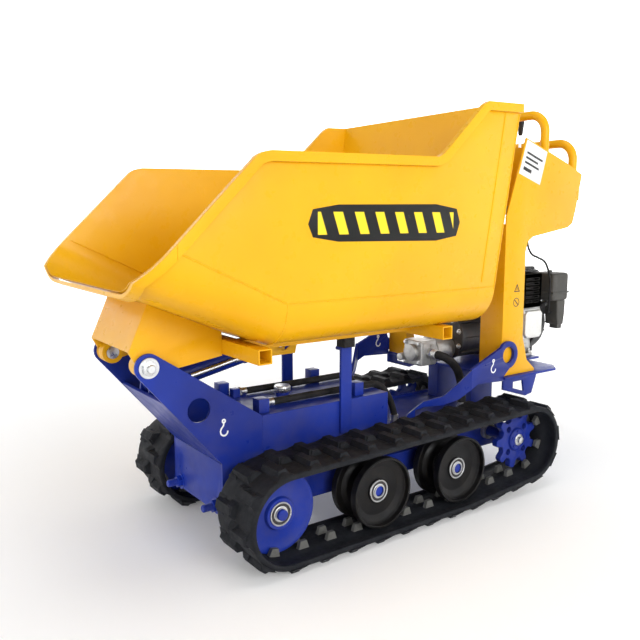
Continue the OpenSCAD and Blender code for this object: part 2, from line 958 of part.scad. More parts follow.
suction_points = [[-300, 62, 450], [-300, 78, 450], [-308, 94, 447], [-326, 103, 438],
                  [-350, 108, 420], [-372, 112, 392], [-386, 114, 356], [-394, 114, 316],
                  [-396, 114, 270], [-396, 114, hose_end_z]];

module suction_hose() {
    color(black)
        hose(suction_points, 15);
}

throttle_points = [[-620, 235, 968], [-612, 235, 968], [-594, 236, 961], [-574, 238, 930],
                   [-562, 240, 880],
                   [-564, 240, 830], [-592, 235, 797], [-640, 225, 782], [-700, 208, 766],
                   [-738, 197, 738], [-750, 200, 695], [-752, 200, 645], [-764, 190, 600],
                   [-786, 172, 574], [-808, 160, 566], [-816, 158, 566], [-822, 158, 566]];

module throttle_cable() {
    color(black)
        hose(throttle_points, 4, 8);
}

chassis_box();
front_yoke();
front_plate();
tensioner_bolts();
rear_chassis();
track_frame();  // track_frame_left
mirror([0, 1, 0]) track_frame();  // track_frame_right
wheel_axles();
drive_motor();  // drive_motor_left
mirror([0, 1, 0]) drive_motor();  // drive_motor_right
rest_posts();
rest_pads();
tank_blocks();
filler_cap();
tank_hoses();
rear_arm();  // rear_arm_left
mirror([0, 1, 0]) rear_arm();  // rear_arm_right
platform();
platform_brackets();
pivot_pins();
cylinder_base_pin();
track();  // track_left
mirror([0, 1, 0]) track();  // track_right
idler();  // idler_left
mirror([0, 1, 0]) idler();  // idler_right
road_wheel(road_front_x);  // road_wheel_front_left
mirror([0, 1, 0]) road_wheel(road_front_x);  // road_wheel_front_right
road_wheel(road_rear_x);  // road_wheel_rear_left
mirror([0, 1, 0]) road_wheel(road_rear_x);  // road_wheel_rear_right
sprocket();  // sprocket_left
mirror([0, 1, 0]) sprocket();  // sprocket_right
skip_shell();
skip_rim();
skip_bracket();
skip_rails();
skip_cross_tubes();
skip_clevis();
skip_band();
cylinder_barrel();
cylinder_pipe();
cylinder_rod();
console_side();  // console_left
mirror([0, 1, 0]) console_side();  // console_right
control_panel();
control_valve();
handlebar(bar_x_pos[0], bar_front_top, 1000, 60);  // handlebar_front
handlebar(bar_x_pos[1], bar_rear_top, 960, 60);  // handlebar_rear
lever(lever_y[1], 1266);  // travel_lever_left
lever(lever_y[0], 1266);  // travel_lever_right
lever(lever_y[2], 1258);  // tip_lever
engine_block();
fan_cover();
starter_handle();
muffler_guard();
air_cleaner();
fuel_tank();
fuel_cap();
hydraulic_pump();
suction_hose();
throttle_cable();
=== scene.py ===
import json
import math
import random

import bmesh
import bpy
from mathutils import Matrix, Vector


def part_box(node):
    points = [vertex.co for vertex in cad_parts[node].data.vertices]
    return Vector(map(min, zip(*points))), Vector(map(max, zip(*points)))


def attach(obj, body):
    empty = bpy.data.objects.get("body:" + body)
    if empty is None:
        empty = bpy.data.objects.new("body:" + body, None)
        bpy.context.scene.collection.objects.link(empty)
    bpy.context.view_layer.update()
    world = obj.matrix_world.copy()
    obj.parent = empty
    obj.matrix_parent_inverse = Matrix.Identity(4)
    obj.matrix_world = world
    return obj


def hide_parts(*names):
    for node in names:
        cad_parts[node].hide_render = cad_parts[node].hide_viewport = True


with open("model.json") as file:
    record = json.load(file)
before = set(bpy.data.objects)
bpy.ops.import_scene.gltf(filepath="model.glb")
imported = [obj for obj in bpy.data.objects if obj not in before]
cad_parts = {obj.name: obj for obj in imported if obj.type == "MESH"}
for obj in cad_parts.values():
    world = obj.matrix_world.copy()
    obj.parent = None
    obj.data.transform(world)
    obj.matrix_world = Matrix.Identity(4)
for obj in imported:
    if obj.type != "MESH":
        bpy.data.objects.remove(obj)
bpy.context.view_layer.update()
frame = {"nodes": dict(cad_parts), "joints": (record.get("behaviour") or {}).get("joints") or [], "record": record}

MM = 0.001
RNG = random.Random(7)
JOINTS = {j["name"]: j for j in frame["joints"]}
BODY_OF = {n: b for b, ns in frame["record"]["behaviour"]["bodies"].items() for n in ns}
SLOT_OF = {s["node"]: s["material_slot"] for s in frame["record"]["subparts"]}


# ---------------------------------------------------------------- materials
class Graph:
    """A material's node tree, with short calls for the nodes used here."""

    def __init__(self, name):
        self.mat = bpy.data.materials.new(name)
        self.mat.use_nodes = True
        self.nt = self.mat.node_tree
        self.nt.nodes.clear()
        out = self.add("ShaderNodeOutputMaterial")
        self.bsdf = self.add("ShaderNodeBsdfPrincipled")
        self.nt.links.new(self.bsdf.outputs[0], out.inputs[0])
        self.coords = self.add("ShaderNodeTexCoord").outputs["Object"]

    def add(self, kind, **settings):
        node = self.nt.nodes.new(kind)
        for key, value in settings.items():
            setattr(node, key, value)
        return node

    def put(self, node, name, value):
        socket = node.inputs[name]
        if isinstance(value, bpy.types.NodeSocket):
            self.nt.links.new(value, socket)
        else:
            socket.default_value = value

    def stretched(self, x, y, z):
        node = self.add("ShaderNodeMapping")
        self.put(node, "Vector", self.coords)
        self.put(node, "Scale", (x, y, z))
        return node.outputs[0]

    def noise(self, scale, detail=4.0, rough=0.55, coords=None):
        node = self.add("ShaderNodeTexNoise")
        self.put(node, "Vector", coords or self.coords)
        self.put(node, "Scale", scale)
        self.put(node, "Detail", detail)
        self.put(node, "Roughness", rough)
        return node.outputs["Fac"]

    def span(self, value, low, high, to_low=0.0, to_high=1.0):
        node = self.add("ShaderNodeMapRange")
        self.put(node, "Value", value)
        for key, v in zip(("From Min", "From Max", "To Min", "To Max"),
                          (low, high, to_low, to_high)):
            self.put(node, key, v)
        return node.outputs[0]

    def calc(self, op, a, b):
        node = self.add("ShaderNodeMath", operation=op)
        self.put(node, 0, a)
        self.put(node, 1, b)
        return node.outputs[0]

    def mix(self, fac, a, b):
        node = self.add("ShaderNodeMix", data_type="RGBA")
        self.put(node, 0, fac)
        for socket, value in ((6, a), (7, b)):
            if isinstance(value, tuple):
                value = (*value, 1.0)
            self.put(node, socket, value)
        return node.outputs[2]

    def height(self):
        node = self.add("ShaderNodeSeparateXYZ")
        self.put(node, 0, self.coords)
        return node.outputs[2]

    def bump(self, height, strength, distance, under=None):
        node = self.add("ShaderNodeBump")
        self.put(node, "Height", height)
        self.put(node, "Strength", strength)
        self.put(node, "Distance", distance)
        if under is not None:
            self.put(node, "Normal", under)
        return node.outputs[0]

    def surface(self, color, rough, normal=None, **constants):
        """Connects the shader's main inputs; other inputs are constants by name."""
        self.put(self.bsdf, "Base Color", color)
        self.put(self.bsdf, "Roughness", rough)
        if normal is not None:
            self.put(self.bsdf, "Normal", normal)
        for key, value in constants.items():
            self.put(self.bsdf, key.replace("_", " "), value)
        return self.mat


def paint(name, base, deep, chip, gloss=0.3, dust=0.25):
    """Sprayed machine paint: orange peel, faint tone drift, scuffs, chips at edges, low dust."""
    g = Graph(name)
    drift = g.span(g.noise(2.2, 3), 0.3, 0.72)
    tone = g.mix(drift, deep, base)
    smear = g.noise(9.0, 6, 0.62, g.stretched(1.0, 1.0, 0.35))
    tone = g.mix(g.span(smear, 0.56, 0.8, 0.0, 0.22), tone, deep)
    grime = g.calc("MULTIPLY", g.span(g.height(), 0.05, 0.55, 1.0, 0.0),
                   g.span(g.noise(14.0, 7, 0.65), 0.42, 0.72))
    tone = g.mix(g.calc("MULTIPLY", grime, dust), tone, (0.10, 0.085, 0.065))
    scuff = g.span(g.noise(46.0, 9, 0.7, g.stretched(1.0, 0.3, 2.2)), 0.66, 0.72)
    tone = g.mix(g.calc("MULTIPLY", scuff, 0.12), tone, chip)
    flecks = g.calc("MULTIPLY", g.span(g.noise(170.0, 3), 0.70, 0.74),
                    g.span(g.noise(7.0, 4), 0.52, 0.66))
    tone = g.mix(g.calc("MULTIPLY", flecks, 0.5), tone, chip)
    rough = g.calc("ADD", g.span(g.noise(30.0, 5), 0.3, 0.8, gloss - 0.06, gloss + 0.12),
                   g.calc("MULTIPLY", grime, 0.25))
    peel = g.bump(g.noise(420.0, 2), 0.06, 0.0006)
    waves = g.bump(g.noise(16.0, 2), 0.10, 0.0012, peel)
    return g.surface(tone, rough, waves, Coat_Weight=0.04, Coat_Roughness=0.15,
                     Specular_IOR_Level=0.2)


def rubber(name, base, dusty, amount=0.6, grain=260.0):
    g = Graph(name)
    film = g.span(g.noise(22.0, 8, 0.7), 0.38, 0.75, 0.0, amount)
    tone = g.mix(film, base, dusty)
    patch = g.span(g.noise(5.0, 4), 0.45, 0.75, 0.0, 0.35)
    tone = g.mix(patch, tone, dusty)
    worn = g.span(g.noise(110.0, 5, 0.7), 0.62, 0.72, 0.0, 0.4)
    tone = g.mix(worn, tone, tuple(c * 2.2 for c in dusty))
    rough = g.span(g.noise(60.0, 5), 0.2, 0.8, 0.55, 0.85)
    pits = g.bump(g.noise(grain, 5, 0.7), 0.35, 0.0008)
    soft = g.bump(g.noise(35.0, 4), 0.25, 0.002, pits)
    return g.surface(tone, rough, soft, Specular_IOR_Level=0.22)


def metal(name, base, stain, rough=0.35, metallic=1.0, cast=0.0, spots=0.4):
    g = Graph(name)
    tone = g.mix(g.span(g.noise(24.0, 7, 0.65), 0.45, 0.78, 0.0, spots), base, stain)
    tone = g.mix(g.span(g.noise(160.0, 4), 0.5, 0.8, 0.0, 0.25), tone, stain)
    gloss = g.span(g.noise(50.0, 6), 0.25, 0.8, max(rough - 0.1, 0.04), rough + 0.15)
    grain = g.bump(g.noise(520.0 if cast else 900.0, 3), 0.35 if cast else 0.08,
                   0.0006 + cast * 0.0006)
    return g.surface(tone, gloss, grain, Metallic=metallic)


def plastic(name, base, pale, rough=0.45, grain=700.0):
    g = Graph(name)
    tone = g.mix(g.span(g.noise(18.0, 6, 0.65), 0.42, 0.8, 0.0, 0.4), base, pale)
    worn = g.span(g.noise(120.0, 5, 0.7), 0.62, 0.72, 0.0, 0.35)
    tone = g.mix(worn, tone, pale)
    gloss = g.span(g.noise(40.0, 5), 0.25, 0.8, rough - 0.08, rough + 0.15)
    return g.surface(tone, gloss, g.bump(g.noise(grain, 3), 0.22, 0.0005),
                     Specular_IOR_Level=0.3)


def band_print(name):
    """Black band with a plain row of slanted yellow bars."""
    lean, pitch, soft = 0.35, 0.034, 0.0005
    mid_x, mid_z, half_length, half_height = 0.188, 0.908, 0.2355, 0.028
    g = Graph(name)
    split = g.add("ShaderNodeSeparateXYZ")
    g.put(split, 0, g.coords)
    x, z = split.outputs[0], split.outputs[2]
    slant = g.calc("ADD", x, g.calc("MULTIPLY", z, -lean))
    bar = g.span(g.calc("PINGPONG", slant, pitch), 0.019 - soft, 0.019 + soft)
    up = g.calc("ABSOLUTE", g.calc("SUBTRACT", z, mid_z), 0.0)
    along = g.calc("ABSOLUTE", g.calc("SUBTRACT", x, mid_x), 0.0)
    inside = g.calc("MULTIPLY", g.span(up, half_height + soft, half_height - soft),
                    g.span(along, half_length + soft, half_length - soft))
    rubbed = g.span(g.noise(60.0, 8, 0.7), 0.62, 0.74, 0.0, 0.5)
    tone = g.mix(g.calc("MULTIPLY", bar, inside), (0.004, 0.004, 0.004), (0.86, 0.62, 0.02))
    tone = g.mix(g.calc("MULTIPLY", rubbed, 0.4), tone, (0.30, 0.26, 0.18))
    return g.surface(tone, g.span(g.noise(30.0, 4), 0.3, 0.8, 0.28, 0.45),
                     g.bump(g.noise(420.0, 2), 0.05, 0.0005), Specular_IOR_Level=0.25)


YELLOW = (0.80, 0.425, 0.004)
BLUE = (0.008, 0.036, 0.36)
M = {
    "yellow_paint": paint("yellow_paint", YELLOW, (0.71, 0.345, 0.004), (0.42, 0.26, 0.10), 0.30),
    "blue_paint": paint("blue_paint", BLUE, (0.008, 0.018, 0.17), (0.10, 0.12, 0.20), 0.32, 0.3),
    "wheel_paint": paint("wheel_paint", (0.004, 0.004, 0.005), (0.002, 0.002, 0.003),
                         (0.05, 0.05, 0.05), 0.36, 0.12),
    "track_rubber": rubber("track_rubber", (0.005, 0.006, 0.009), (0.022, 0.023, 0.027)),
    "black_rubber": rubber("black_rubber", (0.010, 0.010, 0.011), (0.045, 0.043, 0.042), 0.4, 420),
    "zinc": metal("zinc", (0.62, 0.63, 0.64), (0.30, 0.29, 0.27), 0.3),
    "chrome": metal("chrome", (0.80, 0.81, 0.83), (0.50, 0.50, 0.52), 0.1, 1.0, 0.0, 0.15),
    "cast_aluminium": metal("cast_aluminium", (0.52, 0.52, 0.51), (0.20, 0.19, 0.18), 0.42, 0.9,
                            1.0, 0.6),
    "black_plastic": plastic("black_plastic", (0.014, 0.014, 0.015), (0.07, 0.07, 0.07)),
    # dark steel for seals and the muffler can; on the pump bell housing the same dark colour is painted shade
    "dark_steel": metal("dark_steel", (0.055, 0.055, 0.058), (0.10, 0.07, 0.05), 0.45, 0.7, 0.3),
    "black_enamel": plastic("black_enamel", (0.012, 0.012, 0.014), (0.05, 0.05, 0.055), 0.22, 300),
    "band_print": band_print("band_print"),
    "guide_metal": metal("guide_metal", (0.16, 0.16, 0.15), (0.06, 0.055, 0.05), 0.6, 0.4, 0.5),
    "engine_grey": plastic("engine_grey", (0.055, 0.053, 0.048), (0.11, 0.105, 0.095), 0.5),
    "rocker_silver": metal("rocker_silver", (0.72, 0.72, 0.70), (0.50, 0.48, 0.42), 0.4, 0.6,
                           1.0, 0.3),
    "label_white": plastic("label_white", (0.74, 0.75, 0.76), (0.55, 0.56, 0.58), 0.35),
    "label_dark": plastic("label_dark", (0.02, 0.02, 0.02), (0.08, 0.08, 0.08), 0.4),
    "oil_cap": plastic("oil_cap", (0.62, 0.50, 0.16), (0.35, 0.30, 0.12), 0.4),
}


# ---------------------------------------------------------------- mesh helpers
def tidy(piece, smooth=40.0):
    """Outward normals and smooth shading up to an angle."""
    bm = bmesh.new()
    bm.from_mesh(piece.data)
    bmesh.ops.recalc_face_normals(bm, faces=bm.faces)
    limit = math.radians(smooth)
    for f in bm.faces:
        f.smooth = True
    for e in bm.edges:
        e.smooth = len(e.link_faces) == 2 and e.calc_face_angle(0.0) < limit
    bm.to_mesh(piece.data)
    bm.free()


def dress(piece, body, slot, replaced=(), material=None):
    """Gives a piece its material (by default the one its slot names) and its body, and hides the CAD nodes it
    stands for.
    """
    piece.data.materials.clear()
    piece.data.materials.append(M[material or slot])
    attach(piece, body)
    if replaced:
        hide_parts(*replaced)


def bevel(bm, width, segments, angle=30.0):
    """Rounds every edge sharper than the angle."""
    sharp = [e for e in bm.edges
             if len(e.link_faces) == 2 and e.calc_face_angle(0.0) > math.radians(angle)]
    bmesh.ops.bevel(bm, geom=sharp, offset=width, segments=segments, profile=0.6,
                    affect="EDGES", clamp_overlap=True)


def rounded(node, width, segments, material=None):
    """The CAD node again with dissolved flats and rounded edges, in its place."""
    source = frame["nodes"][node]
    bm = bmesh.new()
    bm.from_mesh(source.data)
    bmesh.ops.remove_doubles(bm, verts=bm.verts, dist=0.00002)
    bmesh.ops.dissolve_limit(bm, angle_limit=math.radians(1.0), verts=bm.verts, edges=bm.edges)
    bevel(bm, width * MM, segments)
    mesh = bpy.data.meshes.new(node + "_body")
    bm.to_mesh(mesh)
    bm.free()
    piece = bpy.data.objects.new(node + "_body", mesh)
    bpy.context.scene.collection.objects.link(piece)
    tidy(piece)
    dress(piece, BODY_OF[node], SLOT_OF[node], [node], material)


class Builder:
    """Collects shapes into one mesh."""

    def __init__(self):
        self.bm = bmesh.new()

    def join(self, other, matrix=None):
        mesh = bpy.data.meshes.new("part")
        other.to_mesh(mesh)
        if matrix is not None:
            mesh.transform(matrix)
        self.bm.from_mesh(mesh)
        bpy.data.meshes.remove(mesh)
        other.free()

    def block(self, low, high, round_mm=1.5, segments=2, matrix=None):
        bm = bmesh.new()
        bmesh.ops.create_cube(bm, size=1.0)
        low, high = Vector(low) * MM, Vector(high) * MM
        size, mid = high - low, (low + high) / 2
        for v in bm.verts:
            v.co = Vector((v.co.x * size.x, v.co.y * size.y, v.co.z * size.z)) + mid
        if round_mm:
            bevel(bm, round_mm * MM, segments)
        self.join(bm, matrix)

    def rod(self, a, b, r, r2=None, sides=32, round_mm=0.8):
        """Round bar or cone from a to b, in millimetres."""
        a, b = Vector(a) * MM, Vector(b) * MM
        d = b - a
        bm = bmesh.new()
        bmesh.ops.create_cone(bm, cap_ends=True, segments=sides, radius1=r * MM,
                              radius2=(r if r2 is None else r2) * MM, depth=d.length)
        if round_mm:
            bevel(bm, round_mm * MM, 2, 50.0)
        turn = d.to_track_quat("Z", "Y").to_matrix().to_4x4()
        self.join(bm, Matrix.Translation((a + b) / 2) @ turn)

    def lathe(self, centre, axis, profile, sides=96):
        """Turns a closed profile of (radius, distance along axis) about the axis at centre."""
        axis = Vector(axis).normalized()
        side = axis.orthogonal().normalized()
        up = axis.cross(side)
        centre = Vector(centre) * MM
        bm = bmesh.new()
        rings = []
        for r, h in profile:
            rings.append([bm.verts.new(centre + axis * h * MM
                                       + (side * math.cos(t) + up * math.sin(t)) * max(r, 0.01) * MM)
                          for t in (k * 2 * math.pi / sides for k in range(sides))])
        for a, b in zip(rings, rings[1:] + rings[:1]):
            for k in range(sides):
                n = (k + 1) % sides
                bm.faces.new((a[k], a[n], b[n], b[k]))
        bmesh.ops.recalc_face_normals(bm, faces=bm.faces)
        self.join(bm)

    def hexagon(self, at, axis, across, height, washer=True):
        """Bolt head: chamfered hexagon on a washer, standing on at along axis."""
        axis = Vector(axis).normalized()
        at = Vector(at)
        base = 0.0
        if washer:
            self.rod(at, at + axis * 1.6, across * 0.78, sides=32, round_mm=0.3)
            base = 1.6
        self.rod(at + axis * base, at + axis * (base + height), across / 1.732, sides=6,
                 round_mm=0.7)

    def sweep(self, points, r, sides=16):
        """Round tube along a smooth curve through points, in millimetres."""
        path = smooth_path(points)
        bm = bmesh.new()
        rings = []
        up = None
        for i, p in enumerate(path):
            d = (path[min(i + 1, len(path) - 1)] - path[max(i - 1, 0)]).normalized()
            up = d.orthogonal().normalized() if up is None else (up - d * up.dot(d)).normalized()
            side = d.cross(up)
            rings.append([bm.verts.new(p + (up * math.cos(t) + side * math.sin(t)) * r * MM)
                          for t in (k * 2 * math.pi / sides for k in range(sides))])
        for a, b in zip(rings, rings[1:]):
            for k in range(sides):
                n = (k + 1) % sides
                bm.faces.new((a[k], a[n], b[n], b[k]))
        bm.faces.new(rings[0])
        bm.faces.new(rings[-1])
        bmesh.ops.recalc_face_normals(bm, faces=bm.faces)
        self.join(bm)

    def prism(self, outline, y0, y1, round_mm=1.0, segments=2, holes=()):
        """Plate with an outline in the XZ plane between y0 and y1, in millimetres."""
        bm = bmesh.new()
        edges = []
        for ring in (outline, *holes):
            verts = [bm.verts.new((x * MM, y0 * MM, z * MM)) for x, z in ring]
            edges += [bm.edges.new((verts[i], verts[(i + 1) % len(verts)]))
                      for i in range(len(verts))]
        bmesh.ops.triangle_fill(bm, edges=edges, use_beauty=True, use_dissolve=True)
        faces = list(bm.faces)
        out = bmesh.ops.extrude_face_region(bm, geom=faces)
        for v in (g for g in out["geom"] if isinstance(g, bmesh.types.BMVert)):
            v.co.y = y1 * MM
        bmesh.ops.recalc_face_normals(bm, faces=bm.faces)
        bmesh.ops.dissolve_limit(bm, angle_limit=0.01, verts=bm.verts, edges=bm.edges)
        if round_mm:
            bevel(bm, round_mm * MM, segments)
        self.join(bm)

    def piece(self, name, body, slot, replaced=(), material=None, smooth=40.0):
        mesh = bpy.data.meshes.new(name)
        self.bm.to_mesh(mesh)
        self.bm.free()
        piece = bpy.data.objects.new(name, mesh)
        bpy.context.scene.collection.objects.link(piece)
        tidy(piece, smooth)
        dress(piece, body, slot, replaced, material)


def smooth_path(points, step=0.006):
    """Catmull-Rom curve through points given in millimetres, sampled about every step metres."""
    p = [Vector(q) * MM for q in points]
    p = [p[0] * 2 - p[1]] + p + [p[-1] * 2 - p[-2]]
    out = []
    for a, b, c, d in zip(p, p[1:], p[2:], p[3:]):
        n = max(2, int((c - b).length / step))
        for k in range(n):
            t = k / n
            out.append(0.5 * ((2 * b) + (c - a) * t + (2 * a - 5 * b + 4 * c - d) * t * t
                              + (3 * b - a - 3 * c + d) * t ** 3))
    out.append(p[-2])
    return out


def arc(cx, cz, r, start, end, steps=12):
    """Points on an arc in the XZ plane, angles in degrees."""
    return [(cx + r * math.cos(math.radians(start + (end - start) * k / steps)),
             cz + r * math.sin(math.radians(start + (end - start) * k / steps)))
            for k in range(steps + 1)]


def box_mm(node):
    low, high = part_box(node)
    return low / MM, high / MM


def pin_mm(joint):
    return Vector(JOINTS[joint]["pos_m"]) / MM


# ---------------------------------------------------------------- tracks
BELT_T = 16
BELT_HALF = 90.0
BELT_STEPS = 240
LUG_H = 16
LUG_COUNT = 28
SPROCKET_R = 112.0


def loop_runs(circles):
    """Straight runs of a belt round circles (x, z, r): each (start, end)."""
    out = []
    for (x0, z0, r0), (x1, z1, r1) in zip(circles, circles[1:] + circles[:1]):
        turn = math.atan2(z1 - z0, x1 - x0) - math.acos((r0 - r1) / math.hypot(x1 - x0, z1 - z0))
        n = Vector((math.cos(turn), math.sin(turn)))
        out.append((Vector((x0, z0)) + n * r0, Vector((x1, z1)) + n * r1))
    return out


class Belt:
    """The belt's inner path, and points and directions along it."""

    def __init__(self, circles):
        self.parts = []
        rs = loop_runs(circles)
        for (a, b), (c, d), (x, z, r) in zip(rs, rs[1:] + rs[:1], circles[1:] + circles[:1]):
            heading = math.atan2(b.y - a.y, b.x - a.x)
            self.parts.append(("line", (b - a).length, a, heading, None))
            turn = (math.atan2(d.y - c.y, d.x - c.x) - heading) % (2 * math.pi)
            self.parts.append(("arc", turn * r, Vector((x, z)), heading, r))
        self.length = sum(p[1] for p in self.parts)

    def at(self, s):
        """Point (x, z) and heading at the distance s along the belt."""
        s %= self.length
        for kind, size, a, h, r in self.parts:
            if s <= size:
                if kind == "line":
                    return a + Vector((math.cos(h), math.sin(h))) * s, h
                h += s / r
                return a + Vector((math.sin(h), -math.cos(h))) * r, h
            s -= size
        return self.at(0)

    def place(self, s, across, mid, out):
        """Matrix from (along, across, out) mm to the belt; out is 1 outwards, -1 inwards."""
        p, h = self.at(s)
        return Matrix(((math.cos(h) * MM, 0, out * math.sin(h) * MM, p.x * MM),
                       (0, across * MM, 0, mid * MM),
                       (math.sin(h) * MM, 0, -out * math.cos(h) * MM, p.y * MM),
                       (0, 0, 0, 1)))


def frustum(base, top, h0, h1):
    """Block between the rectangles base and top (t0, t1, y0, y1) at heights h0 and h1."""
    bm = bmesh.new()
    vs = [bm.verts.new((t, y, h)) for (t0, t1, y0, y1), h in ((base, h0), (top, h1))
          for t, y in ((t0, y0), (t1, y0), (t1, y1), (t0, y1))]
    for f in ((3, 2, 1, 0), (4, 5, 6, 7), (0, 1, 5, 4), (1, 2, 6, 5), (2, 3, 7, 6), (3, 0, 4, 7)):
        bm.faces.new([vs[i] for i in f])
    return bm


def as_mesh(bm, name):
    mesh = bpy.data.meshes.new(name)
    bm.to_mesh(mesh)
    bm.free()
    return mesh


def stamp(builder, mesh, place):
    """Adds a moved copy of a mesh."""
    copy = mesh.copy()
    copy.transform(place)
    builder.bm.from_mesh(copy)
    bpy.data.meshes.remove(copy)


def lug_mesh(half):
    """One tread lug over the outer (1) or inner (-1) half of the belt."""
    b = Builder()
    for base, top, low, high in (
            ((-19, 19, -6, 82), (-11, 12, 0, 74), -2, 16),
            ((-27, 25, 52, 92), (-5, 5, 66, 80), -2, 10),
            ((-14, 26, -10, 26), (-6, 15, -5, 18), -2, 14)):
        bm = frustum(base, top, low, high)
        bevel(bm, 2.4, 2, 20.0)
        b.join(bm)
    for v in b.bm.verts:
        v.co.y *= half
    return as_mesh(b.bm, "lug")


def guide_mesh():
    """One tooth on the belt's inside."""
    tooth = frustum((-17, 17, 14.5, 28.5), (-10, 10, 15.5, 27), -1, 21.5)
    bevel(tooth, 1.6, 2, 20.0)
    return as_mesh(tooth, "tooth")


def track_piece(name, side):
    """Rubber belt with staggered lugs outside and guide lugs inside."""
    front = pin_mm(f"idler_{name}_spin")
    drive = pin_mm(f"sprocket_{name}_spin")
    rear = pin_mm(f"road_rear_{name}_spin")
    belt, outer = (Belt([(front.x, front.z, front.z - LUG_H - BELT_T + out),
                         (drive.x, drive.z, SPROCKET_R + out),
                         (rear.x, rear.z, rear.z - LUG_H - BELT_T + out)])
                   for out in (0, BELT_T))
    mid = front.y
    half = BELT_HALF
    section = [(-half + 3, 0), (-half + 1, 0.6), (-half, 3), (-half, 12.5), (-half + 2, 15.2),
               (-half + 7, 16), (half - 7, 16), (half - 2, 15.2), (half, 12.5), (half, 3),
               (half - 1, 0.6), (half - 3, 0), (half - 14, 0), (half - 16, 1.6),
               (36, 1.6), (34, 0), (-34, 0), (-36, 1.6), (-half + 16, 1.6), (-half + 14, 0)]
    b = Builder()
    rings = []
    for k in range(BELT_STEPS):
        p, h = belt.at(k * belt.length / BELT_STEPS)
        n = Vector((math.sin(h), -math.cos(h)))
        rings.append([b.bm.verts.new(((p.x + n.x * o) * MM, (mid + y) * MM, (p.y + n.y * o) * MM))
                      for y, o in section])
    for r0, r1 in zip(rings, rings[1:] + rings[:1]):
        for k in range(len(section)):
            n = (k + 1) % len(section)
            b.bm.faces.new((r0[k], r0[n], r1[n], r1[k]))
    lugs = {half: lug_mesh(half) for half in (1, -1)}
    for i in range(LUG_COUNT):
        for part, half in enumerate((-1, 1)):
            along = (i + part / 2 + 0.25) * outer.length / LUG_COUNT
            stamp(b, lugs[half], outer.place(along, side, mid, 1))
    b.piece(f"track_{name}_rubber", BODY_OF[f"track_{name}"], "track_rubber",
            [f"track_{name}"], smooth=48.0)
    g = Builder()
    tooth = guide_mesh()
    for i in range(LUG_COUNT):
        for row in (-1, 1):
            stamp(g, tooth, belt.place((i + 0.5) * belt.length / LUG_COUNT, row, mid, -1))
    g.piece(f"track_{name}_guides", BODY_OF[f"track_{name}"], "track_rubber",
            material="guide_metal")


# ---------------------------------------------------------------- wheels
def bearing(node, c, y, h):
    """Bearing in a hub whose face is h from the wheel's middle: two steel races and a seal."""
    races = Builder()
    races.lathe(c, y, [(29, h - 1), (33, h - 1), (33.6, h + 0.6), (32.6, h + 2), (30, h + 2.2),
                       (29, h + 1.2)], 72)
    races.lathe(c, y, [(17, h - 1), (21.5, h - 1), (21.5, h + 1.4), (20.6, h + 2), (17, h + 2)],
                72)
    races.lathe(c, y, [(15.6, h + 3.4), (18.6, h + 3.4), (18.6, h + 4.8), (15.6, h + 4.8)], 60)
    races.piece(node + "_bearing", node, "zinc")
    seal = Builder()
    seal.lathe(c, y, [(21, h - 1), (29.5, h - 1), (29.5, h + 0.5), (21, h + 0.5)], 72)
    seal.piece(node + "_seal", node, "dark_steel")


def rim_radius(node):
    low, high = box_mm(node)
    return (high.z - low.z) / 2


def road_wheels(name, y):
    for place in ("front", "rear"):
        node = f"road_wheel_{place}_{name}"
        c = pin_mm(f"road_{place}_{name}_spin")
        rim = rim_radius(node)
        b = Builder()
        b.lathe(c, y, [(15.1, -34), (35, -34), (36, -33), (36, -28.5), (38, -28), (73, -28),
                       (75, -28.4), (87, -38.5), (96, -39), (97, -40), (97, -56), (98, -57),
                       (rim - 1.5, -57), (rim, -55.5), (rim, -34.5), (rim - 1.5, -33), (87, -33),
                       (75, -22.6), (73, -22), (52, -22), (50, -20), (50, 20), (52, 22), (73, 22),
                       (75, 22.6), (87, 33), (rim - 1.5, 33), (rim, 34.5), (rim, 55.5),
                       (rim - 1.5, 57), (98, 57), (97, 56), (97, 41), (95, 39), (87, 38.5),
                       (75, 28.4), (72, 28), (39, 28), (36, 28.8), (36, 33), (35, 34), (15.1, 34)],
                120)
        b.piece(node + "_disc", node, "wheel_paint", [node])
        bearing(node, c, y, 34)


def idler(name, y):
    node = f"idler_{name}"
    c = pin_mm(f"idler_{name}_spin")
    rim = rim_radius(node)
    b = Builder()
    b.lathe(c, y, [(15.1, -22), (44, -22), (45, -21), (45, -12), (47, -11), (rim - 2, -11),
                   (rim, -9), (rim, 9), (rim - 2, 11), (101, 11), (99, 9.6), (60, 9.6), (56, 11),
                   (48, 11), (45.5, 12.5), (43.5, 20), (41.5, 22), (15.1, 22)], 120)
    b.piece(node + "_disc", node, "blue_paint", [node])
    bearing(node, c, y, 22)


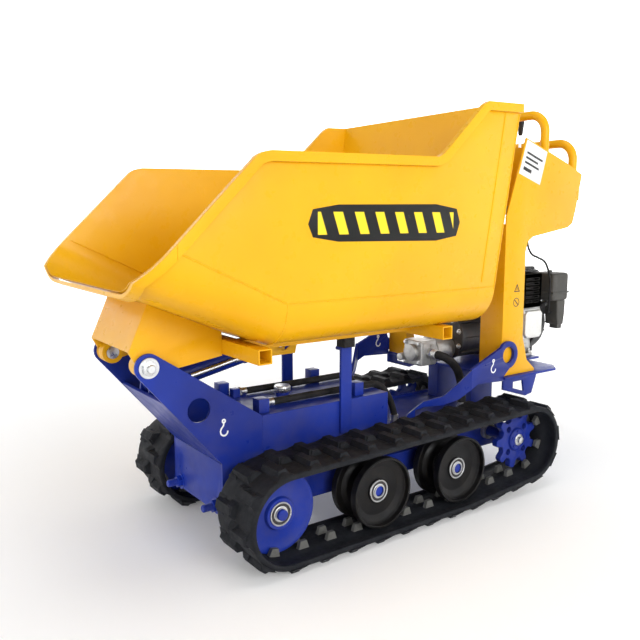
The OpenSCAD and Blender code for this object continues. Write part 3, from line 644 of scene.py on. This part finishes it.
def sprocket(name, y):
    """Drive sprocket: a toothed plate with four holes, its hub and shaft, and the bolt."""
    node = f"sprocket_{name}"
    c = pin_mm(f"sprocket_{name}_spin")
    teeth = 9
    half_tooth = ((5, 99), (8.2, 93), (9.6, 82), (12.5, 74))
    tooth = [(-a, r) for a, r in reversed(half_tooth)] + [(0, 100), *half_tooth, (20, 71.5)]
    outline = []
    for i in range(teeth):
        for da, r in tooth:
            a = math.radians(i * 360 / teeth + da)
            outline.append((c.x + r * math.cos(a), c.z + r * math.sin(a)))
    holes = [list(reversed(arc(c.x + 56 * math.cos(math.radians(45 + 90 * i)),
                               c.z + 56 * math.sin(math.radians(45 + 90 * i)),
                               11, 0, 345, 23))) for i in range(4)]
    b = Builder()
    b.prism(outline, c.y - 10.5, c.y + 10.5, 1.6, 2, holes=holes)
    b.lathe(c, y, [(0, -60), (18, -60), (18, -26), (38, -24), (40, -22), (40, 15), (38, 18),
                   (34, 20), (24, 20.5), (0, 20.5)], 72)
    b.rod(c + y * -146, c + y * -60, 18)
    for i in range(6):
        a = math.radians(i * 60 + 20)
        b.hexagon(c + Vector((30 * math.cos(a), 19 * y.y, 30 * math.sin(a))), y, 8, 4, False)
    b.piece(node + "_wheel", node, "blue_paint", [node])
    h = Builder()
    h.lathe(c, y, [(0, 19), (20, 19), (20, 22.5), (18.5, 23.5), (12, 23.6), (0, 23.6)], 48)
    h.hexagon(c + y * 23.4, y, 21, 9, False)
    h.piece(node + "_bolt", node, "zinc")


for side_name, side in (("left", 1), ("right", -1)):
    outwards = Vector((0, side, 0))
    track_piece(side_name, side)
    road_wheels(side_name, outwards)
    idler(side_name, outwards)
    sprocket(side_name, outwards)


# ---------------------------------------------------------------- CAD nodes with rounded edges
ROUNDED = {
    "chassis_box": 4.0, "front_yoke": 2.5, "front_plate": 1.5, "rear_chassis": 2.0,
    "track_frame_left": 3.0, "track_frame_right": 3.0, "rest_posts": 1.5, "rest_pads": 2.5,
    "tank_blocks": 1.2, "platform": 1.5, "platform_brackets": 1.5, "rear_arm_left": 2.0,
    "rear_arm_right": 2.0, "skip_shell": 1.2, "skip_rim": 5.5, "skip_bracket": 2.0,
    "skip_rails": 2.0, "skip_cross_tubes": 1.6, "skip_clevis": 1.5, "console_left": 1.6,
    "console_right": 1.6, "control_panel": 1.4, "handlebar_front": 0.4, "handlebar_rear": 0.4,
    "cylinder_barrel": 1.5, "cylinder_rod": 1.0, "cylinder_pipe": 0.6, "control_valve": 2.0,
    "cylinder_base_pin": 1.0, "wheel_axles": 1.2,
    "drive_motor_left": 2.0, "drive_motor_right": 2.0, "muffler_guard": 3.0,
    "skip_band": 0.2, "starter_handle": 3.0,
}
for node_name, width in ROUNDED.items():
    rounded(node_name, width, 3 if width >= 2.5 else 2)


# ---------------------------------------------------------------- hoses
def hose_piece(name, routes, r, node):
    b = Builder()
    for route in routes:
        b.sweep(route, r, 20)
    b.piece(name, BODY_OF[node], "black_rubber", [node])


TANK_ROUTE = [(395, 80, 387), (380, 80, 387), (300, 79, 387), (120, 78, 387), (10, 80, 387),
              (-14, 80, 386.5), (-36, 82, 380), (-60, 84, 360), (-82, 86, 326), (-97, 86, 290),
              (-103, 86, 266), (-104, 86, 246)]
SUCTION_ROUTE = [(-300, 62, 450), (-300, 78, 450), (-308, 94, 447), (-326, 103, 438),
                 (-350, 108, 420), (-372, 112, 392), (-386, 114, 356), (-394, 114, 316),
                 (-396, 114, 270), (-396, 114, 246)]
CABLE_ROUTE = [(-620, 235, 968), (-612, 235, 968), (-594, 236, 961), (-574, 238, 930),
               (-562, 240, 880), (-564, 240, 830), (-592, 235, 797), (-640, 225, 782),
               (-700, 208, 766), (-738, 197, 738), (-750, 200, 695), (-752, 200, 645),
               (-764, 190, 600), (-786, 172, 574), (-808, 160, 566), (-822, 158, 566)]


def mirrored(route):
    return [(x, -y, z) for x, y, z in route]


def ferrule(b, at, axis, r, length=26):
    """Crimped hose end with its nut."""
    b.lathe(at, axis, [(0, 0), (r * 0.8, 0), (r * 0.8, 3), (r, 4), (r, 8), (r * 0.93, 9),
                       (r, 10), (r, 13), (r * 0.93, 14), (r, 15), (r, length - 1),
                       (r * 0.9, length), (0, length)], 40)
    b.hexagon(at, axis, r * 2.0, 7, False)


def hoses():
    tank_r, suction_r = 13, 17
    hose_piece("tank_hose_pair", [TANK_ROUTE, mirrored(TANK_ROUTE)], 10.8, "tank_hoses")
    hose_piece("suction_hose_tube", [SUCTION_ROUTE], 14.8, "suction_hose")
    hose_piece("throttle_cable_outer", [CABLE_ROUTE], 3.6, "throttle_cable")
    b = Builder()
    for side in (1, -1):
        ferrule(b, (395, side * 80, 387), (-1, 0, 0), tank_r)
        ferrule(b, (-104, side * 86, 246), (0, 0, 1), tank_r)
    ferrule(b, (-300, 63, 450), (0, 1, 0), suction_r, 20)
    ferrule(b, (-396, 114, 246), (0, 0, 1), suction_r, 30)
    b.piece("hose_fittings", "chassis", "zinc")


hoses()


# ---------------------------------------------------------------- skip seams, labels and symbols
def bead(b, points, r=2.6, step=9.0):
    """Hand-laid weld: a thin rope of overlapping ripples along points."""
    p = [Vector(q) for q in points]
    for a, c in zip(p, p[1:]):
        n = max(1, int((c - a).length / step))
        for k in range(n):
            u, v = a.lerp(c, k / n), a.lerp(c, (k + 1.25) / n)
            wob = Vector((0, 0, RNG.uniform(-0.7, 0.7)))
            b.rod(u + wob, v + wob, r * RNG.uniform(0.85, 1.1), r * RNG.uniform(0.6, 0.8), 8, 0)


SKIP_HALF = 383
SKIP_BEND_R = 115
SKIP_BEND_Z = 715
SKIP_MITRE_X = 512


def skip_seams():
    """Weld beads along the bend, the mitre and the rear edge, and the fold at the rear."""
    sunk = 0.4
    b = Builder()
    for side in (1, -1):
        y = side * (SKIP_HALF - sunk)
        bead(b, [(-226, y, 716), (-120, y, SKIP_BEND_Z), (SKIP_MITRE_X, y, SKIP_BEND_Z),
                 (640, y, 775), (796, y, 848)])
        r = SKIP_BEND_R - sunk
        bend = [(SKIP_MITRE_X, side * (SKIP_HALF - SKIP_BEND_R + r * math.cos(t)),
                 SKIP_BEND_Z - r * math.sin(t)) for t in (k * math.pi / 16 for k in range(8))]
        bead(b, bend, 2.0, 14)
        bead(b, [(-318, side * SKIP_HALF, 1226), (-231, side * SKIP_HALF, 716)], 2.2, 30)
        inner = side * (SKIP_HALF - 5.4)
        bead(b, [(-150, inner, SKIP_BEND_Z), (SKIP_MITRE_X, inner, SKIP_BEND_Z),
                 (640, inner, 779), (790, inner, 851)], 2.0, 14)
    b.piece("skip_weld_beads", "skip", "yellow_paint", smooth=60)
    ridge = Builder()
    for side in (1, -1):
        ridge.prism([(-262, 1225), (-254, 1226), (-172, 732), (-180, 730)],
                    *sorted((side * (SKIP_HALF - 0.1), side * (SKIP_HALF + 1.2))), 0.6)
    ridge.piece("skip_rear_fold", "skip", "yellow_paint")


def symbol(b, x, y, z, size, side=1):
    """Plain lifting-hook symbol: a ring over an open hook, painted on a plate facing +-Y."""
    r, proud, drawn_size = 4.6, 0.7, 56.0
    depth = y - side * (r - proud)
    k = size / drawn_size
    ring = [(x + 5 * k * math.cos(t), depth, z + (22 + 5 * math.sin(t)) * k)
            for t in (i * math.pi / 6 for i in range(13))]
    hook = [(0, 17), (-1, 8), (-8, 0), (-12, -9), (-10, -19), (-2, -25), (7, -24), (13, -17),
            (13, -11)]
    b.sweep(ring, r, 12)
    b.sweep([(x - side * u * k, depth, z + v * k) for u, v in hook], r, 12)


CONSOLE_FACE = 281


def console_label():
    """Plain white plate with four dark bars, set square to the console's sloping edge."""
    face = CONSOLE_FACE - 0.1
    front = CONSOLE_FACE + 0.7
    corner, across, down = (-488, 1172), (-106, -35), (35, -109)
    plate = Builder()
    plate.prism([(-488, 1172), (-594, 1137), (-561, 1028), (-452, 1063)], face, front, 0.3, 1)
    plate.piece("console_label", "chassis", None, material="label_white")
    marks = Builder()
    for u0, v0, u1, v1 in ((0.12, 0.30, 0.88, 0.36), (0.12, 0.44, 0.70, 0.50),
                           (0.12, 0.58, 0.80, 0.64), (0.12, 0.74, 0.50, 0.84)):
        bar = [(corner[0] + across[0] * u + down[0] * v, corner[1] + across[1] * u + down[1] * v)
               for u, v in ((u0, v0), (u1, v0), (u1, v1), (u0, v1))]
        marks.prism(bar, front - 0.2, front + 0.25, 0)
    marks.piece("console_label_bars", "chassis", None, material="label_dark")


def pictogram(name, side):
    """A warning triangle over a crossed ring, in thin dark lines."""
    low, high = sorted((side * (CONSOLE_FACE - 0.2), side * (CONSOLE_FACE + 0.4)))
    triangle = [(-451, 676), (-480, 676), (-465.5, 703)]
    window = [(-456, 679), (-465.5, 696.5), (-475, 679)]
    mark = [(-464.5, 682), (-466.5, 682), (-467.5, 690), (-463.5, 690)]
    ring = arc(-464, 641, 15, 0, 345, 23)
    ring_hole = list(reversed(arc(-464, 641, 12.6, 0, 345, 23)))
    bar = [(-455, 647), (-457, 650), (-473, 635), (-471, 632)]
    ink = Builder()
    ink.prism(triangle, low, high, 0, holes=[window])
    ink.prism(ring, low, high, 0, holes=[ring_hole])
    ink.prism(mark, low, high, 0)
    ink.prism(bar, low, high, 0)
    ink.piece(f"console_pictogram_ink_{name}", "chassis", None, material="label_dark")


def labels():
    b = Builder()
    for x, y, z, size in ((571, 155.05, 361, 48), (-346, 294.05, 440, 46)):
        for side in (1, -1):
            symbol(b, x, side * y, z, size, side)
    symbol(b, -345, -283.95, 442, 46)
    b.piece("hook_symbols", "chassis", None, material="label_white")
    console_label()
    pictogram("left", 1)
    pictogram("right", -1)


skip_seams()
labels()


# ---------------------------------------------------------------- fasteners and fittings
PUMP_Z = 450
BELL_Z = 490
CRANK_Z = 520


def ring_of(count, start=0.0):
    """Angles of count places spread evenly round a circle, in radians."""
    return [start + k * 2 * math.pi / count for k in range(count)]


def knurls(b, centre, r, low, high, rib, count, sides):
    """Upright ribs round a cap."""
    for turn in ring_of(count):
        x, y = centre[0] + r * math.cos(turn), centre[1] + r * math.sin(turn)
        b.rod((x, y, low), (x, y, high), rib, sides=sides, round_mm=0)


def pivot_pins():
    pin = pin_mm("skip_tip")
    b = Builder()
    for side in (1, -1):
        out = Vector((0, side, 0))
        b.rod(pin + out * 97, pin + out * 160, 17.5)
        b.lathe(pin + out * 155.1, out,
                [(0, 0), (26, 0), (26.8, 0.8), (26.8, 3.2), (26, 4), (0, 4)], 64)
        b.hexagon(pin + out * 159, out, 35, 9, False)
        b.lathe(pin + out * 168, out, [(0, 0), (10.8, 0), (10.8, 6), (9.4, 7.4), (0, 7.6)], 48)
    b.piece("pivot_pin_set", BODY_OF["pivot_pins"], "zinc", ["pivot_pins"])


def tensioner_bolts():
    crest, root, pitch = 10.9, 9.7, 2.5
    thread = [(root if k % 2 else crest, 74 + k * pitch / 2) for k in range(22)]
    b = Builder()
    for side in (1, -1):
        b.lathe((520, side * 115, 130), (1, 0, 0),
                [(0, 0), (crest, 0), (crest, 73), *thread, (9, 101.6), (0, 102)], 40)
        b.hexagon((578, side * 115, 130), (1, 0, 0), 31, 13)
    b.piece("tensioner_bolt_pair", BODY_OF["tensioner_bolts"], "blue_paint", ["tensioner_bolts"])


def filler_cap():
    at = (284, 0, 389.3)
    b = Builder()
    b.lathe(at, (0, 0, 1), [(0, 0), (24, 0), (25, 1.2), (25, 7), (23.6, 8.2), (23.6, 10),
                            (25, 11.2), (25, 17), (22.5, 20), (0, 20)])
    knurls(b, at, 24.7, 392, 405, 1.1, 20, 8)
    b.piece("filler_cap_top", "filler_cap", "zinc", ["filler_cap"])


def machine_screws():
    up, ahead = (0, 0, 1), (1, 0, 0)
    b = Builder()
    for side in (1, -1):
        for x in (-420, -540):
            b.hexagon((x, side * 250, 401), up, 17, 7)
        for x in (-530, -495, -330, -120):
            b.hexagon((x, side * 155, 232), (0, side, 0), 15, 6)
        for turn in ring_of(4, math.pi / 4):
            b.hexagon((-484 + 41 * math.cos(turn), side * 62, 167 + 41 * math.sin(turn)),
                      (0, -side, 0), 12, 6)
    for turn in ring_of(8, math.pi / 8):
        b.hexagon((-429.5, 68 * math.cos(turn), BELL_Z + 68 * math.sin(turn)), ahead, 12, 6)
    for y, z in ((-34, 484), (34, 484), (-34, 416), (34, 416)):
        b.hexagon((-262, y, z), ahead, 11, 6)
    b.hexagon((-635, 236, 1163), (0, 1, 0), 16, 7)
    b.rod((-635, 231, 1163), (-635, 225, 1163), 5)
    b.piece("machine_screws", "chassis", "zinc")


def levers():
    for node in ("travel_lever_left", "travel_lever_right", "tip_lever"):
        pin = pin_mm(node + "_swing")
        top = box_mm(node)[1].z
        b = Builder()
        b.rod(pin + Vector((0, 0, 8)), Vector((pin.x, pin.y, top - 50)), 4.8)
        b.lathe(pin, (0, 1, 0), [(4.1, -6), (8.4, -6), (9, -5.4), (9, 5.4), (8.4, 6), (4.1, 6)],
                40)
        b.piece(node + "_rod", BODY_OF[node], "chrome")
        k = Builder()
        k.lathe((pin.x, pin.y, top), (0, 0, 1),
                [(0, -56), (5.6, -56), (7, -54.5), (8.2, -48), (10, -30), (12.2, -12), (12.4, -8),
                 (11.2, -3.2), (7, -0.6), (0, 0)], 48)
        k.piece(node + "_grip", BODY_OF[node], "black_plastic", [node])


def pump():
    b = Builder()
    b.block((-336, -44, 406), (-262, 44, 494), 5, 3)
    b.block((-326, -48, 420), (-306, 48, 480), 2)
    b.block((-288, -47, 414), (-270, 47, 486), 2)
    b.rod((-262, 0, PUMP_Z), (-246, 0, PUMP_Z), 30, round_mm=2)
    b.rod((-430, 0, PUMP_Z), (-336, 0, PUMP_Z), 45, sides=56, round_mm=3)
    b.rod((-350, 0, PUMP_Z), (-340, 0, PUMP_Z), 52, sides=56, round_mm=2)
    b.rod((-300, 43, PUMP_Z), (-300, 62, PUMP_Z), 16)
    b.rod((-290, -44, 430), (-240, -44, 430), 13)
    b.piece("gear_pump", "chassis", "cast_aluminium", ["hydraulic_pump"])


def bell_housing():
    at = Vector((-600, 0, BELL_Z))
    b = Builder()
    b.lathe(at, (1, 0, 0), [(0, 0), (80, 0), (82, 2), (82, 8), (76, 12), (72, 40), (72, 120),
                            (76, 156), (82, 160), (82, 169), (80, 171), (0, 171)], 72)
    for turn in ring_of(8):
        b.block((10, -3, 66), (162, 3, 81), 1.5,
                matrix=Matrix.Translation(at * MM) @ Matrix.Rotation(turn, 4, "X"))
    # the housing's dark steel colour is painted shade: it stands for the shadow the housing sits in between pump
    # and engine
    b.piece("pump_bell_housing_in_painted_shade", "chassis", "dark_steel")


def pump_port():
    b = Builder()
    b.rod((-300, 58, PUMP_Z), (-300, 70, PUMP_Z), 16.4)
    b.hexagon((-300, 60, PUMP_Z), (0, 1, 0), 30, 7, False)
    b.piece("pump_port_nut", "chassis", "blue_paint")


def engine():
    """Castings: base, crankcase, finned cylinder and head, with ports, plugs and bolts."""
    b = Builder()
    b.block((-790, -112, 395), (-640, 105, 407), 2)
    b.block((-790, -100, 406), (-606, 96, 596), 10, 4)
    b.block((-770, -104, 430), (-630, 99, 444), 3)
    b.rod((-612, 0, 500), (-600.2, 0, 500), 60, sides=64)
    b.block((-728, 94, 492), (-622, 174, 596), 5)
    for i in range(9):
        z = 490 + i * 13
        b.block((-738, 95, z), (-612, 170, z + 3.2), 1.2)
    b.block((-734, 158, 486), (-616, 175, 598), 5, 3)
    b.block((-762, 95, 545), (-730, 150, 582), 5, 3)
    b.rod((-815, 132, 600), (-735, 132, 570), 13)
    b.rod((-690, 95, 438), (-690, 112, 438), 13)
    b.rod((-650, 96, 425), (-650, 106, 425), 8, sides=6)
    for x, z in ((-772, 420), (-624, 420), (-772, 580), (-624, 584)):
        b.hexagon((x, 95, z), (0, 1, 0), 13, 7)
    for x in (-776, -654):
        for y in (-104, 101):
            b.hexagon((x, y, 406), (0, 0, 1), 15, 8)
    b.piece("engine_castings", "chassis", "cast_aluminium", ["engine_block"])


def rocker_cover():
    r = Builder()
    r.block((-727, 172, 484), (-623, 180, 592), 3, 3)
    r.prism([(-722, 500), (-722, 576), (-712, 588), (-640, 588), (-628, 576), (-628, 500),
             (-640, 488), (-710, 488)], 178, 196, 7, 4)
    for x, z in ((-718, 583), (-632, 583), (-718, 493), (-632, 493)):
        r.hexagon((x, 180, z), (0, 1, 0), 9, 4)
    r.piece("rocker_cover", "chassis", "cast_aluminium", material="rocker_silver")


def oil_plug():
    o = Builder()
    o.lathe((-690, 108, 438), (0, 1, 0), [(0, 0), (13, 0), (15, 2), (15, 9), (12, 12), (0, 12)],
            32)
    o.block((-704, 119, 435), (-676, 126, 441), 2)
    o.piece("oil_filler_plug", "chassis", "black_plastic", material="oil_cap")


def engine_leads():
    """Spark plug lead, breather hose and the carburettor between cylinder and air cleaner."""
    g = Builder()
    g.sweep([(-668, 170, 600), (-672, 178, 616), (-700, 150, 628), (-750, 90, 622),
             (-790, 60, 610)], 3.4, 12)
    g.rod((-668, 170, 598), (-668, 176, 616), 7)
    g.sweep([(-745, 150, 575), (-760, 165, 600), (-790, 160, 608)], 4.5, 12)
    g.block((-800, 100, 560), (-764, 150, 604), 5, 3)
    g.piece("engine_leads", "chassis", "black_rubber")


def muffler():
    """The guard, drawn once more with softer edges in engine grey, and the can inside it."""
    rounded("muffler_guard", 5.0, 3, material="engine_grey")
    inner = Builder()
    inner.block((-702, 96, 606), (-622, 176, 710), 16, 5)
    inner.rod((-690, 120, 590), (-690, 120, 606), 14)
    inner.piece("muffler_can", "chassis", "dark_steel")


def fan_cover():
    f = Builder()
    f.lathe((-790, 0, CRANK_Z), (-1, 0, 0),
            [(0, 0), (122, 0), (122, 36), (119, 50), (111, 62), (98, 67), (84, 68), (82, 71),
             (82, 88), (78, 93), (30, 94), (0, 94)], 96)
    for turn in ring_of(20):
        f.block((-0.5, -2.4, 88), (5.5, 2.4, 108), 1.0,
                matrix=Matrix.Translation(Vector((-863.5, 0, CRANK_Z)) * MM)
                @ Matrix.Rotation(turn, 4, "X"))
    f.block((-850, -60, 399), (-791, 60, 500), 5, 3)
    f.rod((-880, 0, CRANK_Z), (-884, 0, CRANK_Z), 26, round_mm=1.5)
    f.piece("recoil_fan_cover", "chassis", "black_plastic", ["fan_cover"])


def air_cleaner():
    a = Builder()
    a.block((-880, 84, 612), (-786, 190, 716), 15, 5)
    a.block((-882, 82, 640), (-784, 192, 646), 2)
    a.prism([(-872, 613), (-822, 613), (-824, 560), (-830, 520), (-864, 520), (-870, 560)],
            128, 184, 5, 3)
    a.block((-866, 140, 504), (-840, 176, 523), 3)
    a.rod((-833, 137, 714), (-833, 137, 724), 9, sides=6)
    a.piece("air_cleaner_case", "chassis", "black_plastic", ["air_cleaner"],
            material="engine_grey")


def fuel_tank():
    t = Builder()
    t.block((-880, -168, 646), (-640, 66, 722), 24, 6)
    t.block((-883, -171, 680), (-637, 69, 686), 2.5)
    t.block((-862, -150, 712), (-660, 50, 733), 12, 5)
    t.lathe((-760, -50, 732), (0, 0, 1), [(0, 0), (27, 0), (27, 7), (25, 9), (0, 9)])
    t.piece("fuel_tank_shell", "chassis", "black_enamel", ["fuel_tank"])


def fuel_cap():
    at = (-760, -50, 741.3)
    c = Builder()
    c.lathe(at, (0, 0, 1), [(0, 0), (30, 0), (32, 2.5), (32, 12), (28, 17.5), (12, 18), (0, 18)])
    knurls(c, at, 31.4, 743, 753, 2.2, 16, 10)
    c.piece("fuel_cap_top", "fuel_cap", "black_plastic", ["fuel_cap"])


for build in (pivot_pins, tensioner_bolts, filler_cap, machine_screws, levers, pump, bell_housing,
              pump_port, engine, rocker_cover, oil_plug, engine_leads, muffler, fan_cover,
              air_cleaner, fuel_tank, fuel_cap):
    build()


# ---------------------------------------------------------------- stage, light and camera
CAMERA_AT = (1.445, 1.809, 0.925)
CAMERA_YAW = math.radians(-125.8)
CAMERA_PITCH = math.radians(-8.3)
LENS = 40.0
SENSOR = 36.0


def floor():
    """Pale paper that glows more with distance, so that it meets the backdrop softly."""
    near, far = 1.2, 5.0
    bpy.ops.mesh.primitive_plane_add(size=40)
    sheet = bpy.context.object
    sheet.name = "floor"
    g = Graph("floor_paper")
    pale = g.mix(g.noise(0.8, 2), (0.91, 0.91, 0.91), (0.94, 0.94, 0.94))
    g.put(g.bsdf, "Emission Color", pale)
    reach = g.add("ShaderNodeVectorMath", operation="LENGTH")
    g.put(reach, 0, g.coords)
    g.put(g.bsdf, "Emission Strength", g.span(reach.outputs["Value"], near, far, 0.12, 0.95))
    g.surface(pale, g.span(g.noise(3.0, 2), 0.3, 0.7, 0.75, 0.85), Specular_IOR_Level=0.1)
    sheet.data.materials.append(g.mat)
    return sheet


def backdrop():
    """Round white wall, bright behind the machine and dim on the photo's side."""
    behind_x, behind_y = -0.585, -0.811
    bpy.ops.mesh.primitive_cylinder_add(vertices=128, radius=18, depth=24, end_fill_type="NOTHING")
    wall = bpy.context.object
    wall.name = "backdrop"
    g = Graph("backdrop_paper")
    white = g.mix(g.noise(0.6, 2), (0.97, 0.97, 0.97), (1.0, 1.0, 1.0))
    g.put(g.bsdf, "Emission Color", white)
    at = g.add("ShaderNodeSeparateXYZ")
    g.put(at, 0, g.coords)
    behind = g.calc("ADD", g.calc("MULTIPLY", at.outputs[0], behind_x),
                    g.calc("MULTIPLY", at.outputs[1], behind_y))
    g.put(g.bsdf, "Emission Strength", g.span(behind, 9.0, 14.0, 0.30, 1.1))
    g.surface(white, 0.9, Specular_IOR_Level=0.0)
    wall.data.materials.append(g.mat)
    return wall


def area_light(name, at, look, size, power):
    data = bpy.data.lights.new(name, "AREA")
    data.shape = "RECTANGLE"
    data.size, data.size_y = size
    data.energy = power
    light = bpy.data.objects.new(name, data)
    light.location = at
    light.rotation_euler = (Vector(look) - Vector(at)).to_track_quat("-Z", "Y").to_euler()
    bpy.context.scene.collection.objects.link(light)


def lights():
    world = bpy.data.worlds.new("studio")
    world.use_nodes = True
    back = world.node_tree.nodes["Background"]
    back.inputs[0].default_value = (1.0, 1.0, 1.0, 1.0)
    back.inputs[1].default_value = 0.3
    bpy.context.scene.world = world
    area_light("key", (0.3, 4.6, 2.4), (0.0, 0, 0.7), (2.4, 1.6), 90)
    area_light("top", (0.0, 0.6, 4.4), (0, 0, 0.6), (2.2, 2.2), 46)


def camera():
    data = bpy.data.cameras.new("camera")
    data.sensor_width = SENSOR
    data.lens = LENS
    cam = bpy.data.objects.new("camera", data)
    cam.location = CAMERA_AT
    ahead = Vector((math.cos(CAMERA_PITCH) * math.cos(CAMERA_YAW),
                    math.cos(CAMERA_PITCH) * math.sin(CAMERA_YAW), math.sin(CAMERA_PITCH)))
    cam.rotation_euler = ahead.to_track_quat("-Z", "Y").to_euler()
    bpy.context.scene.collection.objects.link(cam)
    bpy.context.scene.camera = cam


floor()
backdrop()
lights()
camera()
bpy.context.scene.view_settings.view_transform = "Standard"
